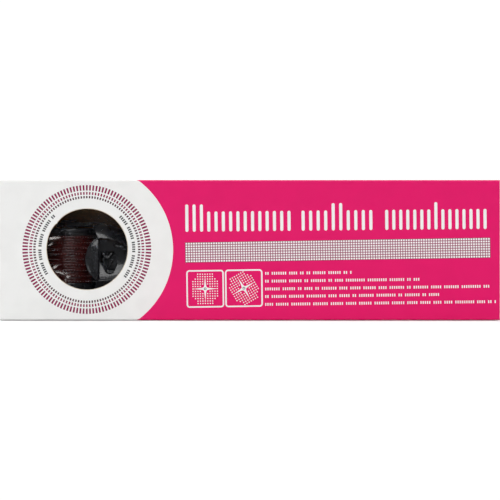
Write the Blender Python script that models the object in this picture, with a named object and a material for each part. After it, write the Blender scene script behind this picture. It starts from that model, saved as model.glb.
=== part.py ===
"""Derma roller in its windowed sliding box.

A microneedle roller (540 fine needles in nine rings) lies in a paperboard drawer, and the drawer slides in a printed
sleeve with a round window over the roller's head.

Frame: +Z up, X along the box (the roller's head is at -X), the printed front face looks to -Y. The origin is the
middle of the box's underside. Lengths below are millimetres; MM turns them into metres.
"""

import math

import bmesh
import bpy
from mathutils import Vector

MM = 0.001

# ---------------------------------------------------------------- driving dimensions
BOX_L = 165.0  # sleeve length, X
BOX_D = 36.0  # sleeve depth, Y
BOX_H = 46.2  # sleeve height, Z
BOARD = 0.5  # sleeve board thickness
FOLD_R = 0.8  # outside radius of a crease
GLUE_FLAP = 12.0  # height of the glue flap inside the back panel
WINDOW_X, WINDOW_Z, WINDOW_R = -53.76, 23.4, 13.37
NOTCH_R = 9.0  # thumb notches in the sleeve's right end

DRAWER_T = 1.0  # double-wall board of the drawer
DRAWER_GAP = 0.3

AXIS_X, AXIS_Y, AXIS_Z = -60.2, 0.8, 20.0  # middle of the needle drum
DISC_R = 9.2
DISC_T = 0.92
DISC_PITCH = 1.84
DISC_COUNT = 9
NEEDLES_PER_DISC = 60
NEEDLE_LEN = 1.0
NEEDLE_W = 0.34
SPACER_R = 8.75
HEX_R = 4.6  # across the corners of the drum core
FLANGE_T = 2.5
AXLE_R = 1.0
ARM_IN, ARM_OUT = 10.85, 12.35  # the fork arms' inner and outer faces, from the roller's middle plane
HEAD_END = 31.9  # head length right of the drum axis
HOUSING_R = 10.9  # the fork's clearance round the needle tips

GRIP_X0, GRIP_X1 = 2.0, 44.0
SHELL_X0, SHELL_X1 = -24.3, 72.0
TAIL_X = 77.6
HANDLE_DY = -1.5  # handle centre line, ahead of the drum axis
SHELL_T = 1.7


# ---------------------------------------------------------------- scene and materials
def clear_scene():
    for o in list(bpy.data.objects):
        bpy.data.objects.remove(o, do_unlink=True)


def material(name, colour, roughness, metallic=0.0, alpha=1.0):
    m = bpy.data.materials.new(name)
    m.use_nodes = True
    b = m.node_tree.nodes["Principled BSDF"]
    b.inputs["Base Color"].default_value = (*colour, 1.0)
    b.inputs["Roughness"].default_value = roughness
    b.inputs["Metallic"].default_value = metallic
    b.inputs["Alpha"].default_value = alpha
    m.diffuse_color = (*colour, alpha)
    return m


def finish(name, bm, mat, smooth=30.0):
    """The bmesh as a named object with its normals facing out."""
    bmesh.ops.recalc_face_normals(bm, faces=bm.faces)
    me = bpy.data.meshes.new(name)
    bm.to_mesh(me)
    bm.free()
    me.materials.append(mat)
    me.shade_smooth()
    me.set_sharp_from_angle(angle=math.radians(smooth))
    o = bpy.data.objects.new(name, me)
    bpy.context.scene.collection.objects.link(o)
    return o


def cutter(o):
    o.hide_render = True
    o.display_type = "WIRE"
    return o


def boolean(target, other, operation):
    m = target.modifiers.new(operation.title() + "_" + other.name, "BOOLEAN")
    m.operation = operation
    m.solver = "EXACT"
    m.object = other
    cutter(other)


# ---------------------------------------------------------------- shape helpers (millimetres in, metres out)
def prism(bm, outer, holes, place, h0, h1):
    """A flat outline with holes, given thickness from h0 to h1. place(u, v, h) gives the point."""
    for h, flip in ((h0, False), (h1, True)):
        edges = []
        for loop in [outer] + holes:
            vs = [bm.verts.new([c * MM for c in place(u, v, h)]) for u, v in loop]
            edges += [bm.edges.new((vs[i], vs[(i + 1) % len(vs)])) for i in range(len(vs))]
        if h == h0:
            first = edges
        else:
            second = edges
    bmesh.ops.triangle_fill(bm, edges=first, use_beauty=True)
    bmesh.ops.triangle_fill(bm, edges=second, use_beauty=True)
    for a, b in zip(first, second):
        bm.faces.new((a.verts[0], a.verts[1], b.verts[1], b.verts[0]))


def revolve(bm, profile, n, place, closed=True):
    """A profile of (r, h) turned about the h axis. An open profile starts and ends on the axis."""
    rings = []
    for r, h in profile:
        if r < 1e-6:
            rings.append([bm.verts.new([c * MM for c in place(0, 0, h)])])
        else:
            rings.append(
                [
                    bm.verts.new(
                        [c * MM for c in place(r * math.cos(t), r * math.sin(t), h)]
                    )
                    for t in (2 * math.pi * i / n for i in range(n))
                ]
            )
    pairs = list(zip(rings, rings[1:]))
    if closed:
        pairs.append((rings[-1], rings[0]))
    for a, b in pairs:
        for i in range(n):
            j = (i + 1) % n
            if len(a) == 1 and len(b) > 1:
                bm.faces.new((a[0], b[i], b[j]))
            elif len(b) == 1 and len(a) > 1:
                bm.faces.new((a[i], b[0], a[j]))
            elif len(a) > 1:
                bm.faces.new((a[i], b[i], b[j], a[j]))


def loft(bm, loops, cap=True, ring=False):
    """Skin over closed loops of points, one after another."""
    rows = [[bm.verts.new([c * MM for c in p]) for p in loop] for loop in loops]
    n = len(rows[0])
    pairs = list(zip(rows, rows[1:]))
    if ring:
        pairs.append((rows[-1], rows[0]))
    for a, b in pairs:
        for i in range(n):
            j = (i + 1) % n
            bm.faces.new((a[i], a[j], b[j], b[i]))
    if cap and not ring:
        bm.faces.new(rows[0])
        bm.faces.new(rows[-1])


def squircle(half_c, front, back, power, n, start=0.0, turn=2 * math.pi, ends=False):
    """Points (b, c) of a rounded cross-section: c across, b deep, from front to back."""
    mid, deep = (front + back) / 2, (back - front) / 2
    out = []
    steps = n - 1 if ends else n
    for i in range(n):
        t = start + turn * i / steps
        x, y = math.cos(t), math.sin(t)
        out.append(
            (
                mid + deep * math.copysign(abs(y) ** (2 / power), y),
                half_c * math.copysign(abs(x) ** (2 / power), x),
            )
        )
    return out


def arc(cx, cy, r, a0, a1, n):
    return [
        (
            cx + r * math.cos(math.radians(a0 + (a1 - a0) * i / n)),
            cy + r * math.sin(math.radians(a0 + (a1 - a0) * i / n)),
        )
        for i in range(n + 1)
    ]


def circle(cx, cy, r, n, phase=0.0):
    return [
        (
            cx + r * math.cos(phase + 2 * math.pi * i / n),
            cy + r * math.sin(phase + 2 * math.pi * i / n),
        )
        for i in range(n)
    ]


def interp(table, x):
    """Smooth reading of a table of rows (x, values...)."""
    if x <= table[0][0]:
        return table[0][1:]
    for lo, hi in zip(table, table[1:]):
        if x <= hi[0]:
            t = (x - lo[0]) / (hi[0] - lo[0])
            t = t * t * (3 - 2 * t)
            return tuple(a + (b - a) * t for a, b in zip(lo[1:], hi[1:]))
    return table[-1][1:]


def on_drum(u, v, h):
    """Roller frame to box frame for turned drum pieces: h runs up the drum axis."""
    return (AXIS_X + u, AXIS_Y + v, AXIS_Z + h)


def roller(a, b, c):
    """a along the handle from the drum axis, b deep (front is negative), c up."""
    return (AXIS_X + a, AXIS_Y + b, AXIS_Z + c)


# ---------------------------------------------------------------- the printed sleeve
def sleeve_profile():
    """Closed outline of the folded board in the Y-Z plane, glue flap tucked inside the back panel."""
    y, h, r, t = BOX_D / 2, BOX_H, FOLD_R, BOARD
    flap = y - t - 0.1  # outer face of the glue flap

    def side(o, q):
        pts = [(y - o, 0.1)]
        pts += arc(y - r, h - r, q, 0, 90, 3)
        pts += arc(-y + r, h - r, q, 90, 180, 3)
        pts += arc(-y + r, r, q, 180, 270, 3)
        pts += arc(flap - r, r, q, 270, 360, 3)
        pts += [(flap - o, GLUE_FLAP)]
        return pts

    return side(0, r) + side(t, r - t)[::-1]


def make_sleeve(mat):
    bm = bmesh.new()
    prism(bm, sleeve_profile(), [], lambda u, v, h: (h, u, v), -BOX_L / 2, BOX_L / 2)
    sleeve = finish("printed_sleeve", bm, mat)
    bm = bmesh.new()
    prism(
        bm,
        circle(WINDOW_X, WINDOW_Z, WINDOW_R, 40),
        [],
        lambda u, v, h: (u, h, v),
        -BOX_D / 2 - 2,
        -BOX_D / 2 + 2,
    )
    boolean(sleeve, finish("cut_window", bm, mat), "DIFFERENCE")
    for name, z in (("cut_notch_top", BOX_H), ("cut_notch_bottom", 0.0)):
        bm = bmesh.new()
        prism(
            bm,
            circle(BOX_L / 2 + 1.0, 0.0, NOTCH_R, 24, 0.05),
            [],
            lambda u, v, h: (u, v, h),
            z - 2,
            z + 2,
        )
        boolean(sleeve, finish(name, bm, mat), "DIFFERENCE")
    return sleeve


def make_window_film(mat):
    bm = bmesh.new()
    w, r = 17.0, 3.0
    pts = []
    for sx, sz, a0 in ((1, 1, 0), (-1, 1, 90), (-1, -1, 180), (1, -1, 270)):
        pts += arc(WINDOW_X + sx * (w - r), WINDOW_Z + sz * (w - r), r, a0, a0 + 90, 3)
    y0 = -BOX_D / 2 + BOARD + 0.05
    prism(bm, pts, [], lambda u, v, h: (u, h, v), y0, y0 + 0.15)
    return finish("window_film", bm, mat)


# ---------------------------------------------------------------- the drawer and its saddles
DRAWER_X = BOX_L / 2 - 0.6
DRAWER_Y0 = -BOX_D / 2 + BOARD + 0.6
DRAWER_Y1 = BOX_D / 2 - 2 * BOARD - 0.1 - DRAWER_GAP
DRAWER_Z0 = BOARD + DRAWER_GAP
DRAWER_Z1 = BOX_H - BOARD - DRAWER_GAP


def make_drawer(mat):
    """An open tray: a solid block whose front face is inset by the wall and pushed back to the floor."""
    bm = bmesh.new()
    bmesh.ops.create_cube(bm, size=1.0)
    for v in bm.verts:
        v.co.x = math.copysign(DRAWER_X, v.co.x) * MM
        v.co.y = (DRAWER_Y0 if v.co.y < 0 else DRAWER_Y1) * MM
        v.co.z = (DRAWER_Z0 if v.co.z < 0 else DRAWER_Z1) * MM
    front = [f for f in bm.faces if f.calc_center_median().y < (DRAWER_Y0 + 0.1) * MM]
    bmesh.ops.inset_region(bm, faces=front, thickness=DRAWER_T * MM, use_even_offset=True)
    pushed = bmesh.ops.extrude_face_region(bm, geom=front)
    moved = [e for e in pushed["geom"] if isinstance(e, bmesh.types.BMVert)]
    bmesh.ops.delete(bm, geom=front, context="FACES")
    bmesh.ops.translate(
        bm, verts=moved, vec=(0, (DRAWER_Y1 - DRAWER_T - DRAWER_Y0) * MM, 0)
    )
    return finish("drawer_tray", bm, mat)


HANDLE = [  # X, half width (Z), half depth (Y)
    (-28.2, 6.3, 5.7),
    (-16.0, 6.6, 6.0),
    (2.0, 8.6, 7.3),
    (20.0, 9.8, 8.1),
    (44.0, 8.9, 7.5),
    (64.0, 7.3, 6.3),
    (77.6, 5.6, 5.0),
]
HANDLE_POWER = 2.4


def handle_section(x, shrink, n, start=0.0, turn=2 * math.pi, ends=False):
    w, d = interp(HANDLE, x)
    y = AXIS_Y + HANDLE_DY
    return [
        (x, y + b, AXIS_Z + c)
        for b, c in squircle(
            w - shrink, -(d - shrink), d - shrink, HANDLE_POWER, n, start, turn, ends
        )
    ]


def make_saddle(name, x, mat, front_y=-9.5, thick=1.0):
    """A board rib across the drawer with a rounded cradle for the handle, open at the front."""
    w, d = interp(HANDLE, x)
    gap = 0.35
    cradle = [
        (y, z)
        for (_, y, z) in (
            (0, AXIS_Y + HANDLE_DY + b, AXIS_Z + c)
            for b, c in squircle(w + gap, -(d + gap), d + gap, HANDLE_POWER, 17, 0, math.pi, True)
        )
    ]
    z0, z1 = DRAWER_Z0 + DRAWER_T + 0.2, DRAWER_Z1 - DRAWER_T - 0.2
    y1 = DRAWER_Y1 - DRAWER_T - 0.1
    pts = [(front_y, z0), (y1, z0), (y1, z1), (front_y, z1)]
    pts += [(front_y, AXIS_Z + w + gap)] + cradle + [(front_y, AXIS_Z - w - gap)]
    bm = bmesh.new()
    prism(bm, pts, [], lambda u, v, h: (h, u, v), x - thick / 2, x + thick / 2)
    return finish(name, bm, mat)


# ---------------------------------------------------------------- the fork head
HEAD = [  # a, half width (c), front b, back b
    (4.6, 8.2, -10.1, 3.6),
    (6.6, 11.0, -10.5, 4.6),
    (9.0, 12.4, -10.7, 5.1),
    (12.0, 12.1, -10.6, 5.3),
    (15.5, 11.0, -10.1, 5.3),
    (19.5, 9.2, -9.2, 5.0),
    (24.0, 7.4, -8.2, 4.6),
    (28.0, 6.5, -7.5, 4.2),
    (HEAD_END, 6.2, -7.1, 4.1),
]
LIP_A, CHORD_A, CHORD_C = 5.7, 9.6, 7.1


def opening_outline():
    """Front view of the fork's mouth: arms, slanted corners and the round lip that guards the drum."""
    r = ((CHORD_A - LIP_A) ** 2 + CHORD_C**2) / (2 * (CHORD_A - LIP_A))
    half = math.degrees(math.asin(CHORD_C / r))
    lip = arc(LIP_A + r, 0, r, 180 - half, 180 + half, 10)
    return (
        [(-9, ARM_IN), (-9, -ARM_IN), (7.9, -ARM_IN)]
        + lip[::-1]
        + [(7.9, ARM_IN)]
    )


def make_head(mat):
    bm = bmesh.new()
    loft(
        bm,
        [
            [roller(a, b, c) for b, c in squircle(w, f, k, 2.8, 24)]
            for a, w, f, k in HEAD
        ],
    )
    head = finish("fork_head", bm, mat)
    for side, name in ((1, "arm_top_blank"), (-1, "arm_bottom_blank")):
        bm = bmesh.new()
        tip = arc(0, 0, 4.5, 90, 270, 10)
        prism(
            bm,
            tip + [(8.0, -5.8), (11.6, -3.4), (11.6, 0.4), (8.0, 2.6)],
            [],
            lambda u, v, h: roller(u, v, h),
            side * (ARM_IN - 0.4),
            side * ARM_OUT,
        )
        boolean(head, finish(name, bm, mat), "UNION")
    bm = bmesh.new()
    prism(bm, opening_outline(), [], lambda u, v, h: roller(u, h, v), -14, 9)
    boolean(head, finish("cut_mouth", bm, mat), "DIFFERENCE")
    housing = ARM_IN - 0.06
    bm = bmesh.new()
    revolve(
        bm,
        [(0, -housing), (HOUSING_R, -housing), (HOUSING_R, housing), (0, housing)],
        48,
        on_drum,
        closed=False,
    )
    boolean(head, finish("cut_housing", bm, mat), "DIFFERENCE")
    # thumb dish: an egg-shaped hollow, right of the lip's chord
    bm = bmesh.new()
    bmesh.ops.create_uvsphere(bm, u_segments=24, v_segments=12, radius=1.0)
    for v in bm.verts:
        x, y, z = v.co
        a = 10.5 + (4.9 if x < 0 else 11.8) * x
        _, front, _ = interp(HEAD, a)
        v.co = [q * MM for q in roller(a, front + (1.9 if y > 0 else 4.9) * y, 7.15 * z)]
    cut = bmesh.ops.bisect_plane(
        bm,
        geom=bm.verts[:] + bm.edges[:] + bm.faces[:],
        plane_co=[q * MM for q in roller(CHORD_A + 0.25, 0, 0)],
        plane_no=(1, 0, 0),
        clear_inner=True,
    )["geom_cut"]
    rim = [e for e in cut if isinstance(e, bmesh.types.BMEdge)]
    bmesh.ops.triangle_fill(bm, edges=rim, use_beauty=True)
    boolean(head, finish("cut_dish", bm, mat), "DIFFERENCE")
    # lock window through the dish floor, and the socket behind it
    bm = bmesh.new()
    lock = arc(13.6, -3.1, 1.7, 215, 320, 4) + arc(13.9, -1.3, 2.1, -20, 30, 3)
    lock += arc(14.6, 1.9, 0.7, 30, 90, 2) + arc(11.1, 1.9, 0.7, 90, 180, 3) + arc(11.4, -0.2, 1.0, 180, 215, 2)
    prism(bm, lock, [], lambda u, v, h: roller(u, h, v), -12.5, -2.5)
    boolean(head, finish("cut_lock", bm, mat), "DIFFERENCE")
    bm = bmesh.new()
    socket = [(-3.8, -3.6), (0.8, -3.6), (0.8, 3.6), (-3.8, 3.6)]
    loft(bm, [[roller(a, b, c) for b, c in socket] for a in (12.3, HEAD_END + 2)])
    boolean(head, finish("cut_socket", bm, mat), "DIFFERENCE")
    # moulded slot beside the dish
    bm = bmesh.new()
    t = math.radians(-14)
    corners = [(-1.6, -0.55), (1.6, -0.55), (1.6, 0.55), (-1.6, 0.55)]
    slot = [
        (16.6 + u * math.cos(t) - v * math.sin(t), 4.6 + u * math.sin(t) + v * math.cos(t))
        for u, v in corners
    ]
    prism(bm, slot, [], lambda u, v, h: roller(u, h, v), -12.5, -7.2)
    boolean(head, finish("cut_slot", bm, mat), "DIFFERENCE")
    # holes for the axle
    bm = bmesh.new()
    prism(bm, circle(0, 0, AXLE_R + 0.05, 16), [], on_drum, -16, 16)
    boolean(head, finish("cut_axle", bm, mat), "DIFFERENCE")
    return head


def make_tang(mat):
    """The flat bar that joins head and handle, with the lug that shows in the head's lock window."""
    bm = bmesh.new()
    bar = [(-3.6, -3.4), (0.6, -3.4), (0.6, 3.4), (-3.6, 3.4)]
    loft(bm, [[roller(a, b, c) for b, c in bar] for a in (12.6, 70.0)])
    tang = finish("neck_tang", bm, mat)
    bm = bmesh.new()
    loft(
        bm,
        [
            [roller(12.9, b, c) for b, c in ((-3.0, -2.6), (-3.0, 1.8))]
            + [roller(12.9, -6.6, 1.2), roller(12.9, -5.2, -1.6)],
            [roller(14.6, b, c) for b, c in ((-3.0, -2.6), (-3.0, 1.8))]
            + [roller(14.2, -7.4, 0.9), roller(14.2, -5.6, -1.4)],
        ],
    )
    boolean(tang, finish("lug_blank", bm, mat), "UNION")
    return tang


# ---------------------------------------------------------------- axle and its caps
def make_axle(steel, black):
    bm = bmesh.new()
    revolve(
        bm,
        [(0, -12.3), (0.8, -12.3), (AXLE_R, -12.1), (AXLE_R, 12.1), (0.8, 12.3), (0, 12.3)],
        16,
        on_drum,
        closed=False,
    )
    finish("axle_pin", bm, steel)
    for name, s in (("axle_cap_top", 1), ("axle_cap_bottom", -1)):
        bm = bmesh.new()
        revolve(
            bm,
            [
                (0, s * 12.4),
                (0.98, s * 12.4),
                (0.98, s * (ARM_OUT + 0.06)),
                (3.1, s * (ARM_OUT + 0.06)),
                (3.1, s * (ARM_OUT + 0.45)),
                (2.5, s * (ARM_OUT + 0.8)),
                (0, s * (ARM_OUT + 0.95)),
            ],
            18,
            on_drum,
            closed=False,
        )
        finish(name, bm, black)


# ---------------------------------------------------------------- the needle drum
def hex_loop(r):
    return circle(0, 0, r, 6, math.radians(30))


def make_drum(red, black, white):
    stack = (DISC_COUNT - 1) / 2 * DISC_PITCH + DISC_T / 2
    end = stack + 0.05 + FLANGE_T
    bm = bmesh.new()
    prism(bm, hex_loop(HEX_R), [circle(0, 0, 1.95, 14)], on_drum, -end + 0.15, end - 0.15)
    finish("drum_core", bm, black)
    for name, s in (("drum_flange_top", 1), ("drum_flange_bottom", -1)):
        inner, chamfer = stack + 0.05, end - 0.5
        bm = bmesh.new()
        rim = [
            [
                bm.verts.new([q * MM for q in on_drum(u, v, s * h)])
                for u, v in circle(0, 0, r, 36)
            ]
            for r, h in ((DISC_R, inner), (DISC_R, chamfer), (DISC_R - 0.5, end))
        ]
        bore = [
            [
                bm.verts.new([q * MM for q in on_drum(u, v, s * h)])
                for u, v in hex_loop(HEX_R + 0.06)
            ]
            for h in (inner, end)
        ]
        for a, b in (rim[:2], rim[1:], bore):
            for i in range(len(a)):
                j = (i + 1) % len(a)
                bm.faces.new((a[i], a[j], b[j], b[i]))
        for outer, hole in ((rim[0], bore[0]), (rim[2], bore[1])):
            edges = [
                bm.edges.get((l[i], l[(i + 1) % len(l)]))
                for l in (outer, hole)
                for i in range(len(l))
            ]
            bmesh.ops.triangle_fill(bm, edges=edges, use_beauty=True)
        finish(name, bm, black)
        bm = bmesh.new()
        revolve(
            bm,
            [
                (AXLE_R + 0.06, s * (end - 3.4)),
                (1.9, s * (end - 3.4)),
                (1.9, s * (end + 0.06)),
                (2.7, s * (end + 0.06)),
                (2.7, s * (ARM_IN - 0.12)),
                (AXLE_R + 0.06, s * (ARM_IN - 0.12)),
            ],
            16,
            on_drum,
        )
        finish(name.replace("drum_flange", "axle_bush"), bm, white)
    for k in range(DISC_COUNT):
        z = (k - (DISC_COUNT - 1) / 2) * DISC_PITCH
        make_needle_disc(f"needle_disc_{k + 1}", z, k % 2, red)
        if k:
            bm = bmesh.new()
            half = (DISC_PITCH - DISC_T) / 2 - 0.05
            mid = z - DISC_PITCH / 2
            prism(
                bm,
                circle(0, 0, SPACER_R, 24),
                [hex_loop(HEX_R + 0.06)],
                on_drum,
                mid - half,
                mid + half,
            )
            finish(f"spacer_ring_{k}", bm, red)


def make_needle_disc(name, z, odd, mat):
    """A ring with a hexagonal bore and a spike at every six degrees, every other disc half a step round."""
    half = math.asin(NEEDLE_W / 2 / DISC_R)
    step = 2 * math.pi / NEEDLES_PER_DISC
    mids = [step * (i + 0.5 * odd) for i in range(NEEDLES_PER_DISC)]
    outer = [
        (DISC_R * math.cos(t), DISC_R * math.sin(t))
        for m in mids
        for t in (m - half, m + half)
    ]
    bm = bmesh.new()
    prism(bm, outer, [hex_loop(HEX_R + 0.06)], on_drum, z - DISC_T / 2, z + DISC_T / 2)
    bm.faces.ensure_lookup_table()
    for m in mids:
        mid = [q * MM for q in on_drum(DISC_R * math.cos(m), DISC_R * math.sin(m), z)]
        tip = [
            q * MM
            for q in on_drum(
                (DISC_R + NEEDLE_LEN) * math.cos(m), (DISC_R + NEEDLE_LEN) * math.sin(m), z
            )
        ]
        face = next(
            f
            for f in bm.faces
            if len(f.verts) == 4
            and (f.calc_center_median() - Vector(mid)).length < 0.05 * MM
        )
        bmesh.ops.poke(bm, faces=[face])["verts"][0].co = tip
    return finish(name, bm, mat, smooth=25)




# ---------------------------------------------------------------- the handle
def shell_shrink(x):
    """The shells step in by the grip's thickness where the rubber grip sits."""
    return 1.1 if GRIP_X0 - 0.2 <= x <= GRIP_X1 + 0.2 else 0.0


GRIP_XS = [GRIP_X0 + 0.8, 10, 17, 24, 31, 38, GRIP_X1 - 0.8]


def make_shell(name, front, mat):
    xs = [SHELL_X0, -16, -7, GRIP_X0 - 0.25, GRIP_X0 - 0.15] + GRIP_XS
    xs += [GRIP_X1 + 0.15, GRIP_X1 + 0.25, 54, 64, SHELL_X1 - 4, SHELL_X1]
    start, turn = (math.pi, math.pi) if front else (0.0, math.pi)
    loops = []
    for x in xs:
        s = shell_shrink(x)
        outer = handle_section(x, s, 11, start, turn, True)
        inner = handle_section(x, s + SHELL_T - (0.5 if s else 0.0), 11, start, turn, True)
        dy = -0.04 if front else 0.04
        loop = outer + inner[::-1]
        loops.append([(px, py + dy, pz) for px, py, pz in loop])
    bm = bmesh.new()
    loft(bm, loops)
    return finish(name, bm, mat)


def ring_loft(name, stations, mat, n=20):
    """A tube about the handle's line. Each station is (x, outer shrink, inner shrink)."""
    bm = bmesh.new()
    outer = [handle_section(x, o, n) for x, o, _ in stations]
    inner = [handle_section(x, i, n) for x, _, i in stations][::-1]
    loft(bm, outer + inner, ring=True)
    return finish(name, bm, mat)


def make_handle(black, rubber, red):
    make_shell("handle_front_shell", True, black)
    make_shell("handle_back_shell", False, black)
    ring_loft(
        "grip_sleeve",
        [(GRIP_X0, 0.35, 1.0)] + [(x, -0.1, 1.0) for x in GRIP_XS] + [(GRIP_X1, 0.35, 1.0)],
        rubber,
    )
    ring_loft(
        "neck_collar",
        [(-28.15, -0.1, 1.6), (-27.4, -0.5, 1.6), (-25.2, -0.5, 1.6), (-24.45, -0.1, 1.6)],
        red,
    )
    # tail cap: a plug that fits the two shells, and a dome
    bm = bmesh.new()
    dome = [(SHELL_X1 + 0.1, 0.0), (TAIL_X - 3.2, 0.25), (TAIL_X - 1.6, 1.0), (TAIL_X - 0.5, 2.3), (TAIL_X, 3.9)]
    plug = [(SHELL_X1 - 4.0, SHELL_T + 0.3), (SHELL_X1 + 0.1, SHELL_T + 0.3)]
    loft(bm, [handle_section(x, s, 20) for x, s in plug + dome])
    finish("tail_cap", bm, black)


# ---------------------------------------------------------------- build
def main():
    clear_scene()
    board = material("printed_board", (0.72, 0.02, 0.14), 0.35)
    kraft = material("kraft_board", (0.30, 0.19, 0.10), 0.85)
    film = material("clear_film", (0.95, 0.96, 0.97), 0.08, alpha=0.3)
    black = material("gloss_black", (0.012, 0.012, 0.014), 0.16)
    rubber = material("grip_rubber", (0.02, 0.02, 0.022), 0.6)
    wine = material("wine_plastic", (0.12, 0.008, 0.012), 0.25)
    steel = material("steel", (0.6, 0.6, 0.62), 0.25, 1.0)
    white = material("bush_acetal", (0.8, 0.8, 0.78), 0.4)

    make_sleeve(board)
    make_window_film(film)
    make_drawer(kraft)
    make_saddle("neck_saddle", -15.0, kraft)
    make_saddle("tail_saddle", 58.0, kraft)
    make_head(black)
    make_tang(black)
    make_axle(steel, black)
    make_drum(wine, black, white)
    make_handle(black, rubber, wine)

    # group the moving drum and the fixed roller pieces under empties on their own axes
    drum = bpy.data.objects.new("drum_axis", None)
    drum.location = (AXIS_X * MM, AXIS_Y * MM, AXIS_Z * MM)
    bpy.context.scene.collection.objects.link(drum)
    bpy.context.view_layer.update()
    turning = ("drum_", "axle_bush", "needle_disc", "spacer_ring")
    for o in list(bpy.data.objects):
        if o.type == "MESH" and o.name.startswith(turning) and not o.hide_render:
            o.parent = drum
            o.matrix_parent_inverse = drum.matrix_world.inverted()


main()
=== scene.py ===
"""The boxed derma roller as it looks: printed board sleeve with a round film window, kraft drawer, and the roller
with its dark red needle drum. Everything is modelled in millimetres and scaled to metres when a piece is finished."""
import math
import random

import bmesh
import bpy
from mathutils import Matrix, Vector, geometry


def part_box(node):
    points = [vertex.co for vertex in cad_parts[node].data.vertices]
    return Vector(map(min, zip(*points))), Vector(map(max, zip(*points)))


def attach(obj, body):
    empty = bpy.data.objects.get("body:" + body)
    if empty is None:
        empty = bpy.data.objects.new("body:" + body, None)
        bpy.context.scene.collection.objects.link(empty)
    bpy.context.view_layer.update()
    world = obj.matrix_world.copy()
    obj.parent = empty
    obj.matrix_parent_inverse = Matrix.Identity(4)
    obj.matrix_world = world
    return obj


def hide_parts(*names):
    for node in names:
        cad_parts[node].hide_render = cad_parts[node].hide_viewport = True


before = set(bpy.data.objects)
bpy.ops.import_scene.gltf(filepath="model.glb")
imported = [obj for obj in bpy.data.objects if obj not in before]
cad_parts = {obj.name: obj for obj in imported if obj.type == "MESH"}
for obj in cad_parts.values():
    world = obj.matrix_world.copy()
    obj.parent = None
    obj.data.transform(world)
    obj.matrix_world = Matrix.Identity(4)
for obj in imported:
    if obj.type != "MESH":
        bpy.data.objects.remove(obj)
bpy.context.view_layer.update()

MM = 0.001
TAU = 2 * math.pi


# ------------------------------------------------------------------ positions read from the frame
def mm_box(node):
    lo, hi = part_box(node)
    return [c * 1000 for c in lo], [c * 1000 for c in hi]


S_LO, S_HI = mm_box("printed_sleeve")
BOX_L, BOX_D, BOX_H = (S_HI[i] - S_LO[i] for i in range(3))
F_LO, F_HI = mm_box("window_film")
D_LO, D_HI = mm_box("drum_flange_top")
AX = (D_LO[0] + D_HI[0]) / 2
AY = (D_LO[1] + D_HI[1]) / 2
AZ = (mm_box("needle_disc_5")[0][2] + mm_box("needle_disc_5")[1][2]) / 2
FLANGE_END = D_HI[2] - AZ
BOARD = 0.5
WIN_X, WIN_Z, WIN_R = (F_LO[0] + F_HI[0]) / 2, (F_LO[2] + F_HI[2]) / 2, 13.35


# ------------------------------------------------------------------ materials
class Mat:
    """A Principled material with a millimetre coordinate for its textures."""

    def __init__(self, name, rough, metallic=0.0, **sockets):
        self.m = bpy.data.materials.new(name)
        self.m.use_nodes = True
        self.n, self.l = self.m.node_tree.nodes, self.m.node_tree.links
        self.b = self.n["Principled BSDF"]
        self.b.inputs["Roughness"].default_value = rough
        self.b.inputs["Metallic"].default_value = metallic
        for k, v in sockets.items():
            self.b.inputs[k.replace("_", " ")].default_value = v
        tc = self.n.new("ShaderNodeTexCoord")
        mp = self.n.new("ShaderNodeMapping")
        mp.inputs["Scale"].default_value = (1000, 1000, 1000)
        self.l.new(tc.outputs["Object"], mp.inputs["Vector"])
        self.mm = mp.outputs["Vector"]

    def stretch(self, sx, sy, sz):
        mp = self.n.new("ShaderNodeMapping")
        mp.inputs["Scale"].default_value = (sx, sy, sz)
        self.l.new(self.mm, mp.inputs["Vector"])
        return mp.outputs["Vector"]

    def noise(self, scale, detail=2.0, rough=0.5, vec=None):
        t = self.n.new("ShaderNodeTexNoise")
        t.inputs["Scale"].default_value = scale
        t.inputs["Detail"].default_value = detail
        t.inputs["Roughness"].default_value = rough
        self.l.new(vec or self.mm, t.inputs["Vector"])
        return t.outputs["Fac"]

    def remap(self, fac, lo, hi, a, b):
        r = self.n.new("ShaderNodeMapRange")
        r.interpolation_type = "SMOOTHSTEP"
        for i, v in zip(("From Min", "From Max", "To Min", "To Max"), (lo, hi, a, b)):
            r.inputs[i].default_value = v
        self.l.new(fac, r.inputs["Value"])
        return r.outputs["Result"]

    def mix(self, fac, a, b):
        x = self.n.new("ShaderNodeMix")
        x.data_type = "RGBA"
        for s, v in ((x.inputs[6], a), (x.inputs[7], b)):
            if isinstance(v, (tuple, list)):
                s.default_value = (*v[:3], 1.0)
            else:
                self.l.new(v, s)
        self.l.new(fac, x.inputs[0])
        return x.outputs[2]

    def math(self, op, a, b=None, c=None):
        x = self.n.new("ShaderNodeMath")
        x.operation = op
        for s, v in zip(x.inputs, (a, b, c)):
            if v is None:
                continue
            if isinstance(v, (int, float)):
                s.default_value = v
            else:
                self.l.new(v, s)
        return x.outputs[0]

    def axes(self):
        x = self.n.new("ShaderNodeSeparateXYZ")
        self.l.new(self.mm, x.inputs[0])
        return x.outputs

    def colour(self, c):
        self.l.new(c, self.b.inputs["Base Color"])
        return self

    def rough(self, r):
        self.l.new(r, self.b.inputs["Roughness"])
        return self

    def bump(self, height, distance_mm, strength=1.0):
        x = self.n.new("ShaderNodeBump")
        x.inputs["Strength"].default_value = strength
        x.inputs["Distance"].default_value = distance_mm * MM
        self.l.new(height, x.inputs["Height"])
        self.l.new(x.outputs["Normal"], self.b.inputs["Normal"])
        return self


def tint(c, k):
    return tuple(max(0.0, min(1.0, v * k)) for v in c)


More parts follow.
